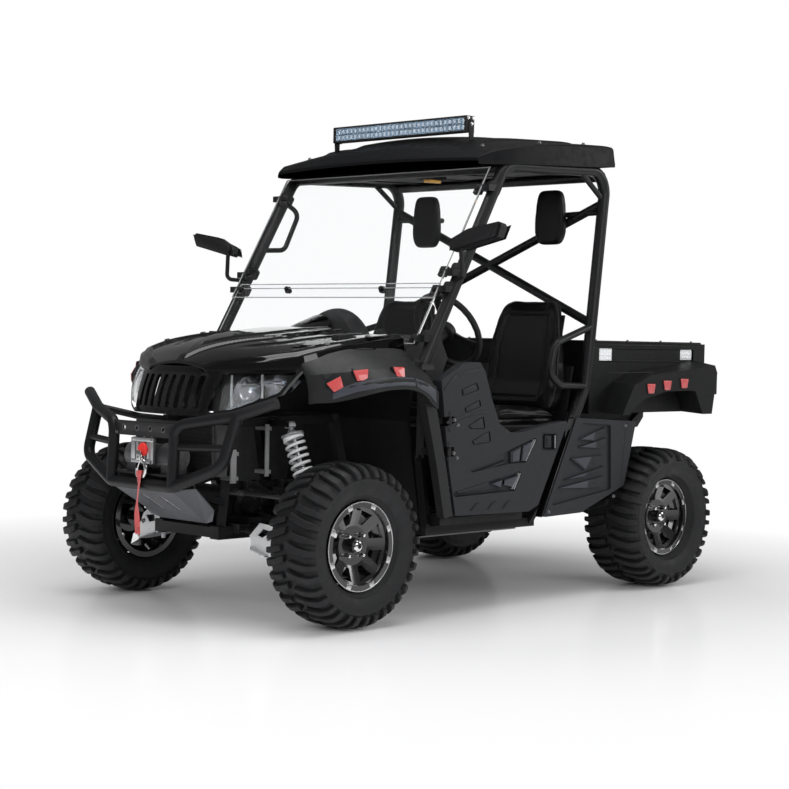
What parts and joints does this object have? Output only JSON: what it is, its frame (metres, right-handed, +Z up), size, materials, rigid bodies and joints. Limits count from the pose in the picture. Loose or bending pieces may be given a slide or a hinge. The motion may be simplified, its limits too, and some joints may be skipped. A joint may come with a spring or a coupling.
{
  "type": "side by side utv",
  "caption": "Two-seat side-by-side utility vehicle with a roll cage, hard roof, winch bumper, half doors and a tipping cargo bed.",
  "frame": {"origin": "on the floor under the middle of the overall length and width", "axes": "+X forward, +Y to the driver's left, +Z up"},
  "size_m": [2.88, 1.841, 2.0205],
  "materials": {
    "tyre": "moulded all-terrain tyre rubber",
    "rim": "gloss black alloy wheel with bright machined edges",
    "frame": "black powder coat",
    "cage": "satin dark grey powder coat",
    "bumper": "satin dark grey powder coat",
    "guard_plate": "satin grey sheet",
    "bright_metal": "bare or zinc plated steel",
    "webbing": "red woven webbing",
    "body_gloss": "gloss black moulded body",
    "body_grey": "grained dark grey moulding",
    "lamp": "clear lamp lens over a bright reflector",
    "tail_lamp": "red lens",
    "trim": "grained black moulding",
    "vinyl": "black grained vinyl over foam",
    "clear": "clear polycarbonate sheet",
    "roof_black": "satin black moulded roof",
    "spring_white": "white coated spring steel",
    "cast": "cast housing",
    "bed_black": "satin black cargo bed"
  },
  "bodies": {
    "chassis": {"axles": "cast", "bright_plates": "bright_metal", "bumper_skid": "guard_plate", "cabin_tub": "trim", "chassis_frame": "frame", "dashboard": "trim", "engine": "cast", "front_bumper": "bumper", "front_fenders": "body_grey", "front_grille": "body_gloss", "headlights": "lamp", "headrests": "vinyl", "hitch_receiver": "frame", "hood": "body_gloss", "hook_strap": "webbing", "light_bar": "frame", "mirrors": "trim", "muffler": "cast", "radiator": "cast", "rear_knuckles": "cast", "roll_cage": "cage", "roof": "roof_black", "seats": "vinyl", "shocks": "bright_metal", "side_panels": "body_grey", "skid_plate": "frame", "springs": "spring_white", "suspension_arms": "frame", "winch": "frame", "winch_hook": "bright_metal", "windshield": "clear"},
    "knuckle_left": {"knuckle_left": "cast"},
    "knuckle_right": {"knuckle_right": "cast"},
    "wheel_front_left": {"tyre_front_left": "tyre", "rim_front_left": "rim"},
    "wheel_front_right": {"tyre_front_right": "tyre", "rim_front_right": "rim"},
    "wheel_rear_left": {"tyre_rear_left": "tyre", "rim_rear_left": "rim"},
    "wheel_rear_right": {"tyre_rear_right": "tyre", "rim_rear_right": "rim"},
    "tie_rod_left": {"tie_rod_left": "bright_metal"},
    "tie_rod_right": {"tie_rod_right": "bright_metal"},
    "steering_rack": {"steering_rack": "bright_metal"},
    "steering_wheel": {"steering_wheel": "trim"},
    "door_left": {"door_left": "body_grey"},
    "door_right": {"door_right": "body_grey"},
    "bed": {"bed": "bed_black", "tail_lamps": "tail_lamp"},
    "tailgate": {"tailgate": "bed_black"}
  },
  "joints": [
    {"name": "steer_left", "type": "hinge", "parent": "chassis", "child": "knuckle_left", "pos_m": [0.94, 0.5, 0.31], "axis": [0, 0, 1], "range_deg": [-28, 28]},
    {"name": "steer_right", "type": "hinge", "parent": "chassis", "child": "knuckle_right", "pos_m": [0.94, -0.5, 0.31], "axis": [0, 0, 1], "range_deg": [-28, 28]},
    {"name": "tie_left", "type": "hinge", "parent": "knuckle_left", "child": "tie_rod_left", "pos_m": [1.075, 0.5, 0.475], "axis": [0, 0, 1], "range_deg": [-28, 28]},
    {"name": "tie_right", "type": "hinge", "parent": "knuckle_right", "child": "tie_rod_right", "pos_m": [1.075, -0.5, 0.475], "axis": [0, 0, 1], "range_deg": [-28, 28]},
    {"name": "rack_slide", "type": "slide", "parent": "chassis", "child": "steering_rack", "axis": [0, 1, 0], "range_m": [-0.066, 0.066]},
    {"name": "steering_wheel_turn", "type": "hinge", "parent": "chassis", "child": "steering_wheel", "pos_m": [0.107, 0.375, 1.123], "axis": [-0.8711, 0, 0.4911], "range_deg": [-270, 270]},
    {"name": "wheel_front_left_spin", "type": "hinge", "parent": "knuckle_left", "child": "wheel_front_left", "pos_m": [0.94, 0.638, 0.31], "axis": [0, 1, 0], "continuous": true},
    {"name": "wheel_front_right_spin", "type": "hinge", "parent": "knuckle_right", "child": "wheel_front_right", "pos_m": [0.94, -0.638, 0.31], "axis": [0, 1, 0], "continuous": true},
    {"name": "wheel_rear_left_spin", "type": "hinge", "parent": "chassis", "child": "wheel_rear_left", "pos_m": [-0.98, 0.628, 0.31], "axis": [0, 1, 0], "continuous": true},
    {"name": "wheel_rear_right_spin", "type": "hinge", "parent": "chassis", "child": "wheel_rear_right", "pos_m": [-0.98, -0.628, 0.31], "axis": [0, 1, 0], "continuous": true},
    {"name": "door_left_hinge", "type": "hinge", "parent": "chassis", "child": "door_left", "pos_m": [0.44, 0.7, 0.6], "axis": [0, 0, -1], "range_deg": [0, 65]},
    {"name": "door_right_hinge", "type": "hinge", "parent": "chassis", "child": "door_right", "pos_m": [0.44, -0.7, 0.6], "axis": [0, 0, 1], "range_deg": [0, 65]},
    {"name": "bed_tip", "type": "hinge", "parent": "chassis", "child": "bed", "pos_m": [-1.385, 0, 0.745], "axis": [0, -1, 0], "range_deg": [0, 45]},
    {"name": "tailgate_drop", "type": "hinge", "parent": "bed", "child": "tailgate", "pos_m": [-1.424, 0, 0.78], "axis": [0, -1, 0], "range_deg": [0, 90]}
  ],
  "couplings": [
    {"joint": "steer_right", "follows": "steer_left", "ratio": 1},
    {"joint": "tie_left", "follows": "steer_left", "ratio": -1},
    {"joint": "tie_right", "follows": "steer_left", "ratio": -1},
    {"joint": "rack_slide", "follows": "steer_left", "m_per_rad": 0.13},
    {"joint": "steering_wheel_turn", "follows": "steer_left", "ratio": 9.6}
  ]
}
